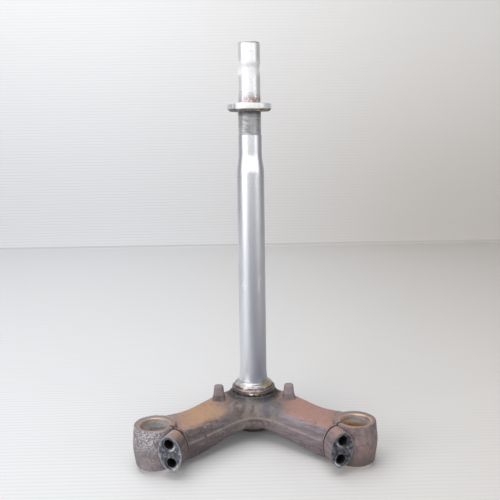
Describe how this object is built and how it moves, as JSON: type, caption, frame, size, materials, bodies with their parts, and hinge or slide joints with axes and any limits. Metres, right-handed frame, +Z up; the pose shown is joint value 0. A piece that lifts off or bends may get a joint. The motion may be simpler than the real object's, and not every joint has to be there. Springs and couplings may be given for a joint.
{
  "type": "motorcycle triple clamp",
  "caption": "Forged lower triple clamp: V-shaped bridge with split fork clamps and steering stops, and a long threaded steering stem with its bearing race and slotted nut.",
  "frame": {"origin": "on the steering axis, at the machined top face of the bridge", "axes": "+Z up the steering stem, -Y forward to the fork clamps, +X to the right as seen from the front"},
  "size_m": [0.2576, 0.1339, 0.4372],
  "materials": {
    "forged_steel": "rusty forging with old grease",
    "stem_steel": "satin, a little worn",
    "race_steel": "ground, stained brown",
    "seal_rubber": "matt, greasy",
    "nut_steel": "bright zinc"
  },
  "bodies": {
    "root": {"lower_bridge": "forged_steel", "steering_stem": "stem_steel", "lower_bearing_race": "race_steel", "dust_seal": "seal_rubber", "stem_nut": "nut_steel"}
  },
  "joints": []
}
